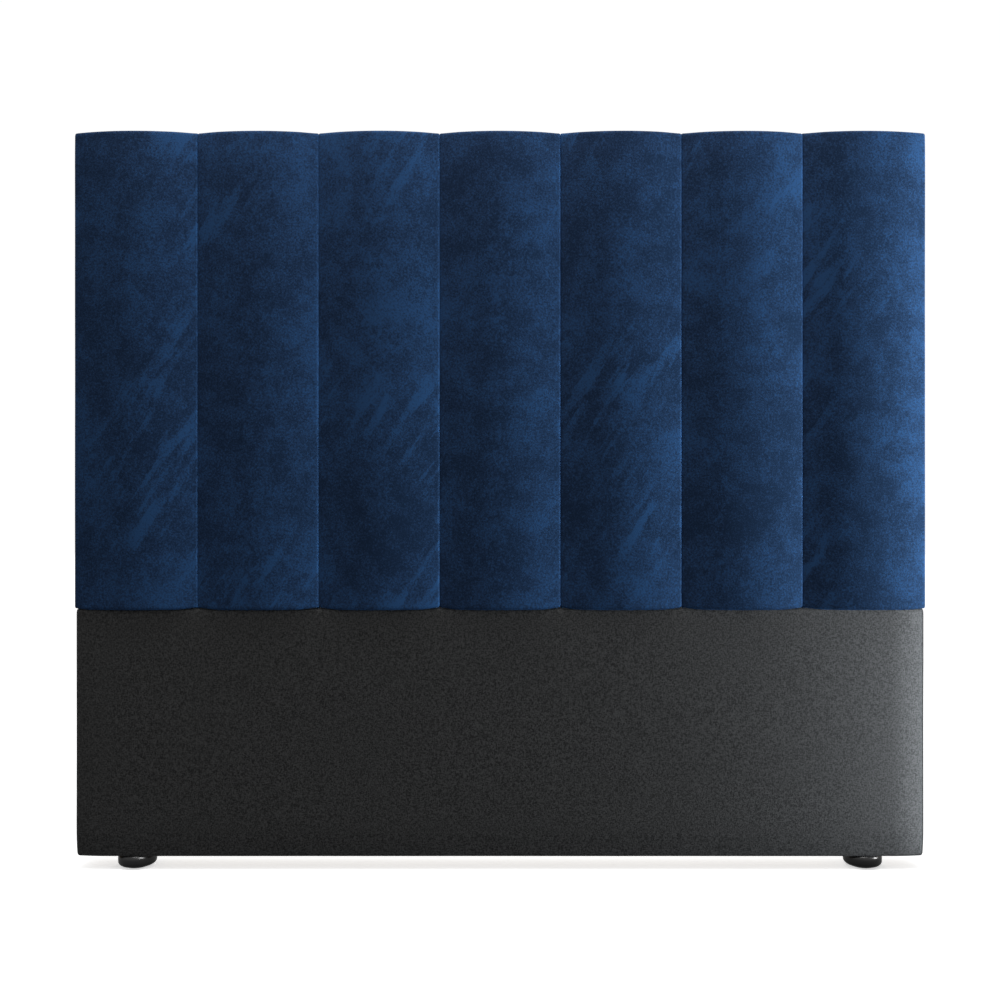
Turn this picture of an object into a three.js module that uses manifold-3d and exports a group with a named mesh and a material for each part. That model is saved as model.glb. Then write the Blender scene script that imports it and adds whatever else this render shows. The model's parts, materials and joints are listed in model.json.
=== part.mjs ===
// A floor-standing upholstered headboard: seven padded vertical channels above a plain woven section.
// Millimetres. +Z is up, the padded face looks along -Y, and the origin is on the floor under the centre.

import * as THREE from 'three';
import { mergeVertices } from 'three/addons/utils/BufferGeometryUtils.js';
import Module from 'manifold-3d';

const wasm = await Module();
wasm.setup();

// ---------------------------------------------------------------- driving dimensions

const GAP = 0.3; // clearance between pieces that touch

// Outline of the whole headboard
const HALF_DEPTH = 45;
const CHANNELS = 7;
const CHANNEL_PITCH = 230;
const HALF_GRID = (CHANNELS * CHANNEL_PITCH) / 2; // the outermost channels end here, before the side wrap
const SIDE_WRAP = 3; // how far the velvet on each side stands outside the grid of channels
const TOP_Z = 1400;
const BREAK_Z = 498; // the channelled section ends here and the plain section starts
const BODY_BOTTOM_Z = 28; // the height of the feet

// Upholstery
const COVER = 1.8; // velvet or woven cloth with its backing
const CROWN_SAGITTA = 16.5; // how far a channel stands in front of its seams
const SEAM_Y = -HALF_DEPTH + CROWN_SAGITTA;
const CROWN_RADIUS = ((CHANNEL_PITCH / 2) ** 2 + CROWN_SAGITTA ** 2) / (2 * CROWN_SAGITTA);
const CHANNEL_CORNER = 10;
const PLAIN_SET_BACK = 1; // the plain section's face lies this far behind the seams
const PLAIN_INSET = 1; // and its sides this far inside the velvet
const PLAIN_CORNER = 12;
const PLAIN_FALL = 5; // the plain face curves back this far towards each side
const PLAIN_FALL_WIDTH = 80;
const TURN_IN = 14; // cloth turned in along the line where the two sections meet
const BACK_FOLD = 34; // cloth stapled round the edge of the back
const DUST_CLOTH = 0.8;
const DUST_MARGIN = 24; // the back cloth stops this far inside the edge of the back
const EDGE_FOAM = 10;

// Timber frame and boards
const TIMBER_DEPTH = 45;
const STILE_WIDTH = 60;
const TOP_RAIL_HEIGHT = 60;
const MIDDLE_RAIL_HEIGHT = 90;
const BOTTOM_RAIL_HEIGHT = 60;
const STUD_X = 270;
const CORNER_BLOCK = 70;
const PLY = 6;
const SCREW_RADIUS = 2.5;
const SCREW_HEAD_RADIUS = 5;
const SCREW_LENGTH = 110;
const SCREW_HEAD = 4;

// Feet
const FOOT_X = 699;
const FOOT_BEHIND_TIMBER_FRONT = 11.2;
const FOOT_RADIUS = 36;
const FOOT_WIDEST_Z = 13.5;
const FOOT_HALF_HEIGHT = 18.5; // of the whole bun before its top and base are cut flat
const GLIDE_RADIUS = 23;
const GLIDE = 2;
const BOLT_RADIUS = 4;
const BOLT_LOW_Z = 10;
const BOLT_TOP_Z = 50;
const INSERT_WALL = 2.2;
const INSERT_LENGTH = 20;

const ROUND_SIDES = 32;
const SMALL_ROUND_SIDES = 16;
const ARC_STEPS = 14;

// ---------------------------------------------------------------- planes worked out from them

const BACK_Y = HALF_DEPTH;
const FOLD_BACK_Y = BACK_Y - DUST_CLOTH - GAP;
const TIMBER_BACK_Y = FOLD_BACK_Y - COVER - GAP;
const TIMBER_FRONT_Y = TIMBER_BACK_Y - TIMBER_DEPTH;
const PLY_BACK_Y = TIMBER_FRONT_Y - GAP;
const PLY_FRONT_Y = PLY_BACK_Y - PLY;
const FOAM_BACK_Y = PLY_FRONT_Y - GAP;
const PLAIN_Y = SEAM_Y + PLAIN_SET_BACK;
const HALF_WIDTH = HALF_GRID + SIDE_WRAP;
const PLAIN_HALF_WIDTH = HALF_WIDTH - PLAIN_INSET;
const FRAME_HALF_WIDTH = HALF_GRID - EDGE_FOAM;
const FRAME_TOP_Z = TOP_Z - COVER - EDGE_FOAM;
const FRAME_BOTTOM_Z = BODY_BOTTOM_Z + COVER + GAP;
const MIDDLE_RAIL_Z = BREAK_Z - MIDDLE_RAIL_HEIGHT / 2;
const FOOT_Y = TIMBER_FRONT_Y + FOOT_BEHIND_TIMBER_FRONT;

// ---------------------------------------------------------------- finishes

const VELVET_BLUE = { color: '#1d3556', roughness: 0.85 };
const WOVEN_CHARCOAL = { color: '#37393a', roughness: 0.95 };
const DUST_BLACK = { color: '#1b1b1c', roughness: 0.95 };
const FOAM_CREAM = { color: '#e6dcb4', roughness: 0.9 };
const PINE = { color: '#c9a36c', roughness: 0.7 };
const PLYWOOD = { color: '#b98f5a', roughness: 0.7 };
const GLOSS_BLACK = { color: '#0b0b0c', roughness: 0.2 };
const FELT_GREY = { color: '#4c4c4e', roughness: 1 };
const ZINC_STEEL = { color: '#b9bdc2', roughness: 0.4, metalness: 1 };

// ---------------------------------------------------------------- helpers

const headboard = new THREE.Group();
headboard.name = 'headboard';

function add(name, geometry, finish) {
  const mesh = new THREE.Mesh(geometry, new THREE.MeshStandardMaterial(finish));
  mesh.name = name;
  headboard.add(mesh);
}

// A box given by its lowest and highest corners.
function box(low, high) {
  const size = high.map((value, axis) => value - low[axis]);
  const geometry = new THREE.BoxGeometry(...size);
  return geometry.translate(...low.map((value, axis) => value + size[axis] / 2));
}

// An outline in plan, pulled up from one height to another.
function prism(outline, lowZ, highZ) {
  const shape = new THREE.Shape(outline.map(([x, y]) => new THREE.Vector2(x, y)));
  const geometry = new THREE.ExtrudeGeometry(shape, { depth: highZ - lowZ, bevelEnabled: false });
  return geometry.translate(0, 0, lowZ);
}

// A profile of [radius, z] points, from low to high, turned about a vertical axis.
function turned(profile, x, y, sides) {
  const geometry = new THREE.LatheGeometry(profile.map(([r, z]) => new THREE.Vector2(r, z)), sides);
  return geometry.rotateX(Math.PI / 2).translate(x, y, 0);
}

function solid(geometry) {
  const bare = geometry.clone();
  bare.deleteAttribute('normal');
  bare.deleteAttribute('uv');
  const merged = mergeVertices(bare);
  return new wasm.Manifold(new wasm.Mesh({
    numProp: 3,
    vertProperties: new Float32Array(merged.attributes.position.array),
    triVerts: new Uint32Array(merged.index.array),
  }));
}

// The first geometry with all the others taken out of it.
function cut(geometry, ...tools) {
  const left = tools.reduce((body, tool) => body.subtract(solid(tool)), solid(geometry));
  const mesh = left.getMesh();
  const result = new THREE.BufferGeometry();
  result.setAttribute('position', new THREE.BufferAttribute(mesh.vertProperties, 3));
  result.setIndex(new THREE.BufferAttribute(mesh.triVerts, 1));
  result.computeVertexNormals();
  return result;
}

// Evenly spaced numbers from one value to another, both included.
function spread(from, to, steps) {
  return Array.from({ length: steps + 1 }, (_, i) => from + ((to - from) * i) / steps);
}

// A cylinder with its axis along X, starting at x and running towards the middle of the headboard.
function crossCylinder(radius, x, length, z) {
  const side = Math.sign(x);
  const geometry = new THREE.CylinderGeometry(radius, radius, length, SMALL_ROUND_SIDES);
  const middleY = (TIMBER_FRONT_Y + TIMBER_BACK_Y) / 2;
  return geometry.rotateZ(Math.PI / 2).translate(x - (side * length) / 2, middleY, z);
}

// ---------------------------------------------------------------- upholstered channels

const crownMiddle = (index) => -HALF_GRID + CHANNEL_PITCH * (index + 0.5);

// Half of a channel's crown in plan, from its middle outwards, as [distance, y] points. A channel
// that ends the row turns round a corner on to the side of the headboard.
function halfCrown(inset, endsRow) {
  const centreY = -HALF_DEPTH + CROWN_RADIUS;
  const radius = CROWN_RADIUS - inset;
  const on = (distance) => [distance, centreY - Math.sqrt(radius ** 2 - distance ** 2)];
  if (!endsRow) return spread(0, CHANNEL_PITCH / 2 - GAP / 2, ARC_STEPS / 2).map(on);
  const start = Math.asin(CHANNEL_PITCH / 2 / CROWN_RADIUS);
  const cornerX = CHANNEL_PITCH / 2 + SIDE_WRAP - CHANNEL_CORNER;
  const cornerRadius = CHANNEL_CORNER - inset;
  const reach = cornerX + cornerRadius * Math.sin(start);
  const cornerY = on(reach)[1] + cornerRadius * Math.cos(start);
  const corner = spread(start, Math.PI / 2, ARC_STEPS / 2).map((angle) => [
    cornerX + cornerRadius * Math.sin(angle),
    cornerY - cornerRadius * Math.cos(angle),
  ]);
  return [...spread(0, reach, ARC_STEPS / 2).map(on).slice(0, -1), ...corner];
}

// A channel in plan, its surface set in by the given distance and its back at backY.
function channelPlan(index, inset, backY) {
  const middle = crownMiddle(index);
  const left = halfCrown(inset, index === 0).map(([d, y]) => [middle - d, y]);
  const right = halfCrown(inset, index === CHANNELS - 1).map(([d, y]) => [middle + d, y]);
  const front = [...left.reverse(), ...right.slice(1)];
  return [...front, [front.at(-1)[0], backY], [front[0][0], backY]];
}

// The velvet of one channel: it wraps the front and the top, turns in under the front, and is
// folded on to the back. The two end panels also wrap their side.
function velvetPanel(index) {
  const skin = prism(channelPlan(index, 0, FOLD_BACK_Y), BREAK_Z, TOP_Z);
  const middle = crownMiddle(index);
  const wide = CHANNEL_PITCH;
  const innerLeft = index === 0 ? -HALF_WIDTH + COVER : middle - wide;
  const innerRight = index === CHANNELS - 1 ? HALF_WIDTH - COVER : middle + wide;
  const hollow = prism(
    widened(channelPlan(index, COVER, FOLD_BACK_Y - COVER), index),
    BREAK_Z + COVER,
    TOP_Z - COVER,
  );
  const behindTurnIn = box(
    [innerLeft, SEAM_Y + TURN_IN, BREAK_Z - 1],
    [innerRight, FOLD_BACK_Y - COVER, BREAK_Z + 2 * COVER],
  );
  const foldLeft = index === 0 ? -HALF_WIDTH + BACK_FOLD : middle - wide;
  const foldRight = index === CHANNELS - 1 ? HALF_WIDTH - BACK_FOLD : middle + wide;
  const backOpening = box(
    [foldLeft, FOLD_BACK_Y - 2 * COVER, BREAK_Z - 1],
    [foldRight, BACK_Y, TOP_Z - BACK_FOLD],
  );
  add(`velvet_panel_${index + 1}`, cut(skin, hollow, behindTurnIn, backOpening), VELVET_BLUE);
}

// A channel plan pushed past the seams beside it, so that what it cuts is open there.
function widened(plan, index) {
  const middle = crownMiddle(index);
  const open = (x) => (x < middle ? index > 0 : index < CHANNELS - 1);
  const atSeam = (x) => Math.abs(Math.abs(x - middle) - (CHANNEL_PITCH - GAP) / 2) < GAP / 2;
  return plan.map(([x, y]) => [open(x) && atSeam(x) ? x + Math.sign(x - middle) * GAP : x, y]);
}

function channelFoam(index) {
  const plan = channelPlan(index, COVER + GAP, FOAM_BACK_Y);
  const foam = prism(plan, BREAK_Z + COVER + GAP, TOP_Z - COVER - GAP);
  add(`channel_foam_${index + 1}`, foam, FOAM_CREAM);
}

// ---------------------------------------------------------------- plain lower section

// The plain section in plan. Its face curves gently back towards each side.
function plainPlan(inset, backY) {
  const fallStart = PLAIN_HALF_WIDTH - PLAIN_FALL_WIDTH;
  const slope = Math.atan((2 * PLAIN_FALL) / PLAIN_FALL_WIDTH);
  const cornerRadius = PLAIN_CORNER - inset;
  const cornerX = PLAIN_HALF_WIDTH - PLAIN_CORNER;
  const reach = cornerX + cornerRadius * Math.sin(slope);
  const face = (x) => PLAIN_Y + inset + PLAIN_FALL * ((x - fallStart) / PLAIN_FALL_WIDTH) ** 2;
  const cornerY = face(reach) + cornerRadius * Math.cos(slope);
  const curve = spread(fallStart, reach, ARC_STEPS / 2).map((x) => [x, face(x)]);
  const corner = spread(slope, Math.PI / 2, ARC_STEPS / 2).slice(1).map((angle) => [
    cornerX + cornerRadius * Math.sin(angle),
    cornerY - cornerRadius * Math.cos(angle),
  ]);
  const right = [...curve, ...corner, [PLAIN_HALF_WIDTH - inset, backY]];
  return [...right.map(([x, y]) => [-x, y]).reverse(), ...right];
}

// The woven cover: front, sides and underside, turned in at the top and folded on to the back.
function lowerCover() {
  const top = BREAK_Z - GAP;
  const skin = prism(plainPlan(0, FOLD_BACK_Y), BODY_BOTTOM_Z, top);
  const inside = prism(
    plainPlan(COVER, FOLD_BACK_Y - COVER),
    BODY_BOTTOM_Z + COVER,
    top - COVER,
  );
  const innerHalf = PLAIN_HALF_WIDTH - COVER;
  const behindTurnIn = box(
    [-innerHalf, PLAIN_Y + TURN_IN, top - 2 * COVER],
    [innerHalf, FOLD_BACK_Y - COVER, top + 1],
  );
  const foldHalf = PLAIN_HALF_WIDTH - BACK_FOLD;
  const backOpening = box(
    [-foldHalf, FOLD_BACK_Y - 2 * COVER, BODY_BOTTOM_Z + BACK_FOLD],
    [foldHalf, BACK_Y, top + 1],
  );
  const hole = [[0, BODY_BOTTOM_Z - 1], [BOLT_RADIUS + GAP, BODY_BOTTOM_Z - 1],
    [BOLT_RADIUS + GAP, FRAME_BOTTOM_Z + 1], [0, FRAME_BOTTOM_Z + 1]];
  const boltHoles = [-FOOT_X, FOOT_X].map((x) => turned(hole, x, FOOT_Y, SMALL_ROUND_SIDES));
  const cover = cut(skin, inside, behindTurnIn, backOpening, ...boltHoles);
  add('lower_cover', cover, WOVEN_CHARCOAL);
}

function lowerFoamPad() {
  const plan = plainPlan(COVER + GAP, FOAM_BACK_Y);
  add('lower_foam_pad', prism(plan, FRAME_BOTTOM_Z, BREAK_Z - 2 * GAP - COVER), FOAM_CREAM);
}

// ---------------------------------------------------------------- edge padding and back cloth

function edgeFoam() {
  const outer = PLAIN_HALF_WIDTH - COVER - GAP;
  const inner = FRAME_HALF_WIDTH + GAP;
  const high = FRAME_TOP_Z;
  const left = box([-outer, PLY_FRONT_Y, FRAME_BOTTOM_Z], [-inner, TIMBER_BACK_Y, high]);
  const right = box([inner, PLY_FRONT_Y, FRAME_BOTTOM_Z], [outer, TIMBER_BACK_Y, high]);
  const top = box([-outer, PLY_FRONT_Y, high + GAP], [outer, TIMBER_BACK_Y, TOP_Z - COVER - GAP]);
  add('edge_foam_left', left, FOAM_CREAM);
  add('edge_foam_right', right, FOAM_CREAM);
  add('edge_foam_top', top, FOAM_CREAM);
}

function dustCloth() {
  const half = PLAIN_HALF_WIDTH - DUST_MARGIN;
  const low = [-half, BACK_Y - DUST_CLOTH, BODY_BOTTOM_Z + DUST_MARGIN];
  add('back_dust_cloth', box(low, [half, BACK_Y, TOP_Z - DUST_MARGIN]), DUST_BLACK);
}

// ---------------------------------------------------------------- timber frame

// Each rail is held at both ends by two long screws through the stiles.
const rails = [
  { name: 'bottom_rail', low: FRAME_BOTTOM_Z, height: BOTTOM_RAIL_HEIGHT },
  { name: 'middle_rail', low: MIDDLE_RAIL_Z, height: MIDDLE_RAIL_HEIGHT },
  { name: 'top_rail', low: FRAME_TOP_Z - TOP_RAIL_HEIGHT, height: TOP_RAIL_HEIGHT },
];
const SCREWS_PER_END = 2;

function screwHeights(rail) {
  return Array.from({ length: SCREWS_PER_END }, (_, i) =>
    rail.low + (rail.height * (i + 1)) / (SCREWS_PER_END + 1));
}

const railHalfLength = FRAME_HALF_WIDTH - STILE_WIDTH - GAP;

// The hole for a frame screw, wide enough for its head near the outer face of the stile.
function screwHole(side, z) {
  const outerX = side * (FRAME_HALF_WIDTH + 1);
  const head = crossCylinder(SCREW_HEAD_RADIUS + GAP, outerX, SCREW_HEAD + 1 + GAP, z);
  const shank = crossCylinder(SCREW_RADIUS + GAP, outerX, SCREW_LENGTH + 1 + GAP, z);
  return { head, shank };
}

function frameScrew(name, side, z) {
  const outerX = side * FRAME_HALF_WIDTH;
  const head = solid(crossCylinder(SCREW_HEAD_RADIUS, outerX, SCREW_HEAD, z));
  const shank = solid(crossCylinder(SCREW_RADIUS, outerX, SCREW_LENGTH, z));
  const mesh = head.add(shank).getMesh();
  const geometry = new THREE.BufferGeometry();
  geometry.setAttribute('position', new THREE.BufferAttribute(mesh.vertProperties, 3));
  geometry.setIndex(new THREE.BufferAttribute(mesh.triVerts, 1));
  geometry.computeVertexNormals();
  add(name, geometry, ZINC_STEEL);
}

function stile(name, side) {
  const inner = side * (FRAME_HALF_WIDTH - STILE_WIDTH);
  const outer = side * FRAME_HALF_WIDTH;
  const bar = box(
    [Math.min(inner, outer), TIMBER_FRONT_Y, FRAME_BOTTOM_Z],
    [Math.max(inner, outer), TIMBER_BACK_Y, FRAME_TOP_Z],
  );
  const holes = rails.flatMap(screwHeights).flatMap((z) => Object.values(screwHole(side, z)));
  add(name, cut(bar, ...holes), PINE);
}

function rail(entry) {
  const bar = box(
    [-railHalfLength, TIMBER_FRONT_Y, entry.low],
    [railHalfLength, TIMBER_BACK_Y, entry.low + entry.height],
  );
  const holes = [-1, 1].flatMap((side) => screwHeights(entry).map((z) => screwHole(side, z).shank));
  const sockets = entry.name === 'bottom_rail' ? [-FOOT_X, FOOT_X].map(insertSocket) : [];
  add(entry.name, cut(bar, ...holes, ...sockets), PINE);
}

function studs() {
  const [bottom, middle, top] = rails;
  const spans = { lower: [bottom, middle], upper: [middle, top] };
  for (const [level, [below, above]] of Object.entries(spans)) {
    for (const [hand, x] of [['left', -STUD_X], ['right', STUD_X]]) {
      const low = [x - STILE_WIDTH / 2, TIMBER_FRONT_Y, below.low + below.height + GAP];
      const high = [x + STILE_WIDTH / 2, TIMBER_BACK_Y, above.low - GAP];
      add(`${level}_stud_${hand}`, box(low, high), PINE);
    }
  }
}

// Glued triangular blocks that keep the four corners of the frame square.
function cornerBlock(name, side, up, cornerZ) {
  const x = side * (FRAME_HALF_WIDTH - STILE_WIDTH - GAP);
  const z = cornerZ + up * GAP;
  const outline = [[x, z], [x - side * CORNER_BLOCK, z], [x, z + up * CORNER_BLOCK]];
  const shape = new THREE.Shape(outline.map(([a, b]) => new THREE.Vector2(a, b)));
  const block = new THREE.ExtrudeGeometry(shape, { depth: TIMBER_DEPTH, bevelEnabled: false });
  add(name, block.rotateX(Math.PI / 2).translate(0, TIMBER_BACK_Y, 0), PINE);
}

function cornerBlocks() {
  const low = rails[0].low + rails[0].height;
  const high = rails[2].low;
  cornerBlock('corner_block_low_left', -1, 1, low);
  cornerBlock('corner_block_low_right', 1, 1, low);
  cornerBlock('corner_block_top_left', -1, -1, high);
  cornerBlock('corner_block_top_right', 1, -1, high);
}

function frontBoards() {
  const half = FRAME_HALF_WIDTH;
  const seam = BREAK_Z;
  const lower = box([-half, PLY_FRONT_Y, FRAME_BOTTOM_Z], [half, PLY_BACK_Y, seam - GAP / 2]);
  const upper = box([-half, PLY_FRONT_Y, seam + GAP / 2], [half, PLY_BACK_Y, FRAME_TOP_Z]);
  add('lower_front_board', lower, PLYWOOD);
  add('upper_front_board', upper, PLYWOOD);
}

// ---------------------------------------------------------------- feet

const insertRadius = BOLT_RADIUS + GAP + INSERT_WALL;

function insertSocket(x) {
  const radius = insertRadius + GAP;
  const top = BOLT_TOP_Z + 4;
  const low = FRAME_BOTTOM_Z - 1;
  const profile = [[0, low], [radius, low], [radius, top], [0, top]];
  return turned(profile, x, FOOT_Y, SMALL_ROUND_SIDES);
}

// Half-width of the bun at a height.
function bunRadius(z) {
  return FOOT_RADIUS * Math.sqrt(1 - ((z - FOOT_WIDEST_Z) / FOOT_HALF_HEIGHT) ** 2);
}

function foot(hand, x) {
  const baseZ = GLIDE + GAP;
  const topZ = BODY_BOTTOM_Z - GAP;
  const bolt = BOLT_RADIUS;
  const side = spread(baseZ, topZ, ARC_STEPS).map((z) => [bunRadius(z), z]);
  const socket = [[bolt + GAP, topZ], [bolt + GAP, BOLT_LOW_Z - GAP], [0, BOLT_LOW_Z - GAP]];
  const bun = turned([[0, baseZ], ...side, ...socket], x, FOOT_Y, ROUND_SIDES);
  add(`bun_foot_${hand}`, bun, GLOSS_BLACK);
  const glide = [[0, 0], [GLIDE_RADIUS, 0], [GLIDE_RADIUS, GLIDE], [0, GLIDE]];
  add(`foot_glide_${hand}`, turned(glide, x, FOOT_Y, ROUND_SIDES), FELT_GREY);
  const rod = [[0, BOLT_LOW_Z], [bolt, BOLT_LOW_Z], [bolt, BOLT_TOP_Z], [0, BOLT_TOP_Z]];
  add(`foot_bolt_${hand}`, turned(rod, x, FOOT_Y, SMALL_ROUND_SIDES), ZINC_STEEL);
  const insertTop = FRAME_BOTTOM_Z + INSERT_LENGTH;
  const bore = bolt + GAP;
  const ring = [[bore, FRAME_BOTTOM_Z], [insertRadius, FRAME_BOTTOM_Z],
    [insertRadius, insertTop], [bore, insertTop], [bore, FRAME_BOTTOM_Z]];
  add(`threaded_insert_${hand}`, turned(ring, x, FOOT_Y, SMALL_ROUND_SIDES), ZINC_STEEL);
}

// ---------------------------------------------------------------- assembly

for (let index = 0; index < CHANNELS; index += 1) {
  velvetPanel(index);
  channelFoam(index);
}
lowerCover();
lowerFoamPad();
edgeFoam();
dustCloth();
frontBoards();
stile('left_stile', -1);
stile('right_stile', 1);
rails.forEach(rail);
studs();
cornerBlocks();
for (const entry of rails) {
  for (const [hand, side] of [['left', -1], ['right', 1]]) {
    screwHeights(entry).forEach((z, i) => frameScrew(`${entry.name}_screw_${hand}_${i + 1}`, side, z));
  }
}
foot('left', -FOOT_X);
foot('right', FOOT_X);

export default headboard;
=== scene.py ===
"""A floor-standing headboard with seven velvet channels above a plain woven section.

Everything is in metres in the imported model's frame: +Z is up, the padded face looks along -Y, and
the origin is on the floor under the centre.
"""

import json
import logging
import math
from collections.abc import Callable, Iterable
from dataclasses import dataclass, field
from enum import Enum

import bmesh
import bpy
from mathutils import Matrix, Vector, noise


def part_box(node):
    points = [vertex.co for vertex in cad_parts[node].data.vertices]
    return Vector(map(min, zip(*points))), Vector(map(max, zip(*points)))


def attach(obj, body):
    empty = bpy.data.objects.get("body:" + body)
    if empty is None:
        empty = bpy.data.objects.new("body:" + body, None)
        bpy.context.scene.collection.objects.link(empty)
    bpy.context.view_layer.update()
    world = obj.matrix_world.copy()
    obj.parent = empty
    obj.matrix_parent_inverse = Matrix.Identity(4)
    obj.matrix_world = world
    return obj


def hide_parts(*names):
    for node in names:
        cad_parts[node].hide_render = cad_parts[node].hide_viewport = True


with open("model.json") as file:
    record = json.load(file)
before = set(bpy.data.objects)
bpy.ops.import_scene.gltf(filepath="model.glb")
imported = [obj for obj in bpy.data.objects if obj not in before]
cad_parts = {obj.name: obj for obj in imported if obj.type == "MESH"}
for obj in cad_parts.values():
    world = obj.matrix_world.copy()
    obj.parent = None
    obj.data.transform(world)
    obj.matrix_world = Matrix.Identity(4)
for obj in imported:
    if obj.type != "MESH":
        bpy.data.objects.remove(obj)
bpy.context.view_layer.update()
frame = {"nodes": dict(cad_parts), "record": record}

LOG = logging.getLogger("headboard")
MM = 0.001
TINY = 1e-5
WELD = 1e-6
BODY = "root"
CHANNELS = 7

Colour = tuple[float, float, float, float]
Tree = bpy.types.NodeTree
Socket = bpy.types.NodeSocket


# ------------------------------------------------------------------ small helpers


def linear(code: str) -> Colour:
    """Turns an sRGB hex colour into linear light.

    Args:
        code: six hex digits after a hash sign.

    Returns:
        Red, green, blue and an alpha of one.
    """
    parts = [int(code[i : i + 2], 16) / 255 for i in (1, 3, 5)]
    light = [c / 12.92 if c <= 0.04045 else ((c + 0.055) / 1.055) ** 2.4 for c in parts]
    return (light[0], light[1], light[2], 1.0)


def per_mm(size: float) -> float:
    """The scale of a pattern in metres whose features are this many millimetres across."""
    return 1000 / size


def smooth(value: float, low: float, high: float) -> float:
    """A soft step from 0 at low to 1 at high."""
    t = min(max((value - low) / (high - low), 0.0), 1.0)
    return t * t * (3 - 2 * t)


def plug(tree: Tree, node: bpy.types.Node, inputs: dict[str | int, object]) -> None:
    """Fills a node's inputs.

    Args:
        tree: the node tree.
        node: the node.
        inputs: a value or another node's output socket for each named or numbered input.
    """
    for name, value in inputs.items():
        if isinstance(value, Socket):
            tree.links.new(value, node.inputs[name])
        else:
            node.inputs[name].default_value = value


def add_node(
    tree: Tree, kind: str, inputs: dict[str | int, object] | None = None, **settings: object
) -> bpy.types.Node:
    """Adds a shader node with its settings, values and links.

    Args:
        tree: the node tree.
        kind: the node's type name.
        inputs: what plug takes.
        **settings: attributes of the node.

    Returns:
        The new node.
    """
    node = tree.nodes.new(kind)
    for name, value in settings.items():
        setattr(node, name, value)
    plug(tree, node, inputs or {})
    return node


def pattern(tree: Tree, place: Socket, size: float, **inputs: float) -> Socket:
    """Adds noise on a coordinate.

    Args:
        tree: the node tree.
        place: the coordinate, in metres.
        size: how many millimetres across its features are.
        **inputs: Detail, Roughness and Distortion, where they aren't Blender's own.

    Returns:
        The noise, from 0 to 1.
    """
    settings = {"Vector": place, "Scale": per_mm(size), **inputs}
    return add_node(tree, "ShaderNodeTexNoise", settings).outputs[0]


def drawn_out(tree: Tree, place: Socket, sizes: Iterable[float], **inputs: float) -> Socket:
    """Adds noise whose features are longer one way than another.

    Args:
        tree: the node tree.
        place: the coordinate, in metres.
        sizes: how many millimetres across its features are along X, Y and Z.
        **inputs: Detail, Roughness and Distortion, where they aren't Blender's own.

    Returns:
        The noise, from 0 to 1.
    """
    scale = tuple(per_mm(size) for size in sizes)
    along = add_node(tree, "ShaderNodeMapping", {"Vector": place, "Scale": scale})
    settings = {"Vector": along.outputs[0], "Scale": 1.0, **inputs}
    return add_node(tree, "ShaderNodeTexNoise", settings).outputs[0]


def maths(tree: Tree, operation: str, *values: Socket | float) -> Socket:
    """Adds a maths node on two or three values and gives its result."""
    node = add_node(tree, "ShaderNodeMath", dict(enumerate(values)), operation=operation)
    return node.outputs[0]


def remap(
    tree: Tree,
    value: Socket,
    old: tuple[float, float] = (0.0, 1.0),
    new: tuple[float, float] = (0.0, 1.0),
    ease: str = "LINEAR",
) -> Socket:
    """Moves a number from one range to another.

    Args:
        tree: the node tree.
        value: the number.
        old: the ends of its range.
        new: the ends of the range it is moved to.
        ease: the node's kind of interpolation.

    Returns:
        The moved number, held within the new range.
    """
    ends = {"From Min": old[0], "From Max": old[1], "To Min": new[0], "To Max": new[1]}
    inputs = {"Value": value, **ends}
    return add_node(tree, "ShaderNodeMapRange", inputs, interpolation_type=ease).outputs[0]


def ramp(tree: Tree, value: Socket, *stops: tuple[float, Colour]) -> Socket:
    """Adds a colour ramp.

    Args:
        tree: the node tree.
        value: the number that picks the colour.
        *stops: places and colours along the ramp.

    Returns:
        The colour.
    """
    node = add_node(tree, "ShaderNodeValToRGB", {"Fac": value})
    elements = node.color_ramp.elements
    while len(elements) < len(stops):
        elements.new(1.0)
    for element, (place, colour) in zip(elements, stops, strict=True):
        element.position = place
        element.color = colour
    return node.outputs[0]


def relief(tree: Tree, height: Socket, strength: float, depth: float) -> Socket:
    """Adds bump from a pattern that is this many metres deep."""
    inputs = {"Height": height, "Strength": strength, "Distance": depth}
    return add_node(tree, "ShaderNodeBump", inputs).outputs[0]


def object_place(tree: Tree) -> Socket:
    """The coordinate of a point in its object, in metres."""
    return add_node(tree, "ShaderNodeTexCoord").outputs["Object"]


def new_material(
    name: str, recipe: Callable[[Tree], dict[str | int, object]]
) -> bpy.types.Material:
    """Makes a material from what its shader's inputs are fed with.

    Args:
        name: the material's name.
        recipe: adds nodes to the material's tree and says what feeds each shader input.

    Returns:
        The material.
    """
    material = bpy.data.materials.new(name)
    material.use_nodes = True
    tree = material.node_tree
    plug(tree, tree.nodes["Principled BSDF"], recipe(tree))
    return material


def grey(value: float) -> Colour:
    """A linear grey."""
    return (value, value, value, 1.0)


def corners(node: str) -> tuple[Vector, Vector]:
    """The lowest and highest corners of a CAD node."""
    low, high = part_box(node)
    return Vector(low), Vector(high)


def box_mesh(low: Vector, high: Vector) -> bmesh.types.BMesh:
    """A box between two corners.

    Args:
        low: the lowest corner.
        high: the highest corner.

    Returns:
        A new bmesh that holds the box.
    """
    bm = bmesh.new()
    bmesh.ops.create_cube(bm, size=1.0)
    bmesh.ops.scale(bm, vec=high - low, verts=bm.verts)
    bmesh.ops.translate(bm, vec=(low + high) / 2, verts=bm.verts)
    return bm


def slice_mesh(bm: bmesh.types.BMesh, axis: int, places: Iterable[float]) -> None:
    """Cuts edges into every face that crosses the given places along an axis.

    Args:
        bm: the mesh.
        axis: 0, 1 or 2 for X, Y or Z.
        places: coordinates of the cuts.
    """
    normal = Vector((0, 0, 0))
    normal[axis] = 1
    for place in places:
        parts = bm.verts[:] + bm.edges[:] + bm.faces[:]
        bmesh.ops.bisect_plane(bm, geom=parts, dist=WELD, plane_co=normal * place, plane_no=normal)


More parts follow.
